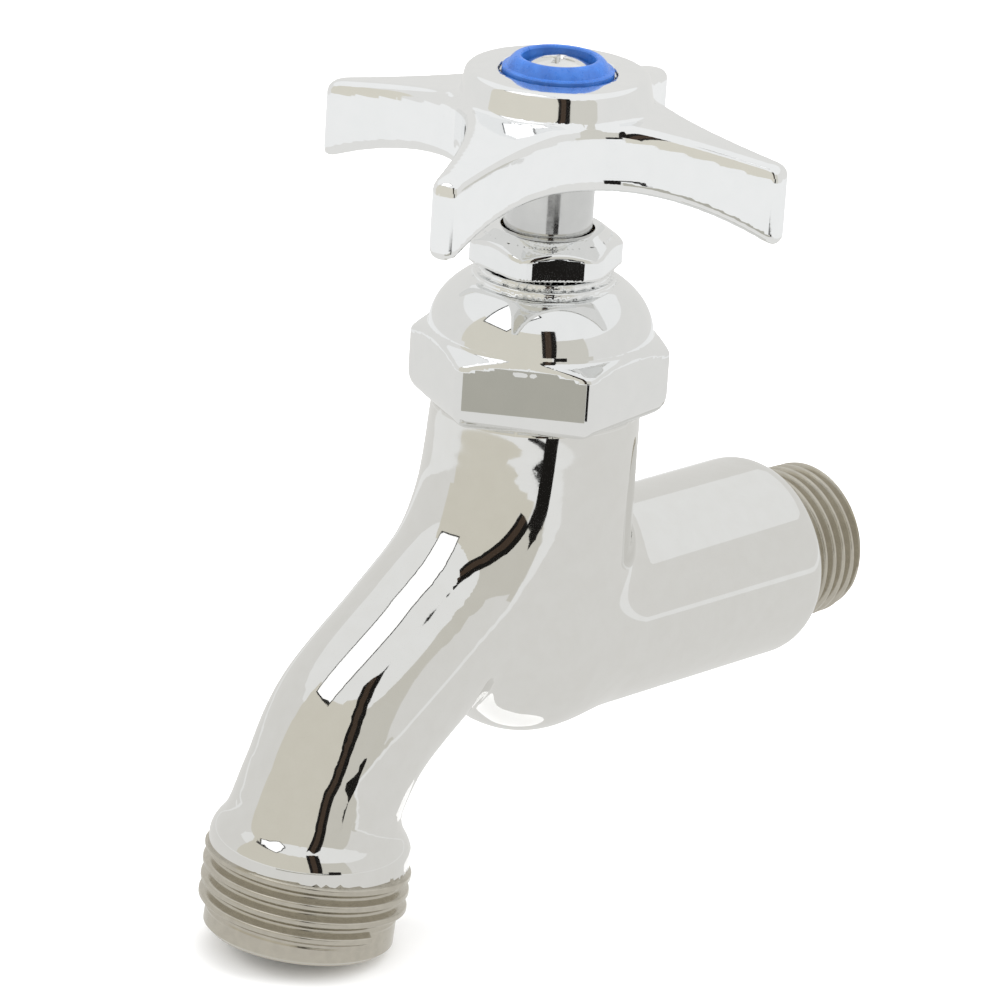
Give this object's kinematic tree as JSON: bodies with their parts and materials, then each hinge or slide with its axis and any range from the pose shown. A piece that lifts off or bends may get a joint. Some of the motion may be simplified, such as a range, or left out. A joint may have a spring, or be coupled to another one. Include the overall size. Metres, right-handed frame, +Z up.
{
  "type": "hose bib",
  "caption": "Wall-mounted hose bib with a pipe-thread inlet, a curved spout ending in a garden hose thread, a hexagon bonnet and a cross handle.",
  "frame": {"origin": "centre of the inlet's end face, on the axis of the inlet's pipe thread", "axes": "+Y out of the inlet, towards the wall it screws into; +Z up along the spindle; the spout leans towards -Y"},
  "size_m": [0.061, 0.1063, 0.1134],
  "materials": {
    "chrome_body": "polished chrome plate over cast brass",
    "chrome_bonnet": "polished chrome plate",
    "chrome_handle": "polished chrome plate",
    "brass": "machined",
    "steel": "bright stainless",
    "spindle_metal": "fine turned, satin",
    "index_blue": "moulded, semi-gloss",
    "rubber": "matt",
    "packing": "graphited packing",
    "fibre": "pressed red fibre"
  },
  "bodies": {
    "valve_body": {"faucet_body": "chrome_body", "renewable_seat": "brass", "seat_gasket": "fibre", "bonnet": "chrome_bonnet", "bonnet_gasket": "fibre", "packing_washer": "brass", "packing_lower": "packing", "packing_upper": "packing", "packing_gland": "brass", "packing_nut": "chrome_bonnet"},
    "disc": {"disc_holder": "brass", "seat_washer": "rubber", "washer_screw": "steel", "holder_clip": "steel"},
    "stem": {"spindle": "spindle_metal", "handle": "chrome_handle", "index_ring": "index_blue", "handle_lock_washer": "steel", "handle_screw": "steel"}
  },
  "joints": [
    {"name": "disc_lift", "type": "slide", "parent": "valve_body", "child": "disc", "axis": [0, 0, 1], "range_m": [0, 0.006]},
    {"name": "handle_turn", "type": "hinge", "parent": "disc", "child": "stem", "pos_m": [0, -0.0557, 0.0304], "axis": [0, 0, 1], "range_deg": [0, 1080]}
  ],
  "couplings": [
    {"joint": "disc_lift", "follows": "handle_turn", "m_per_rad": 0.0003183}
  ]
}
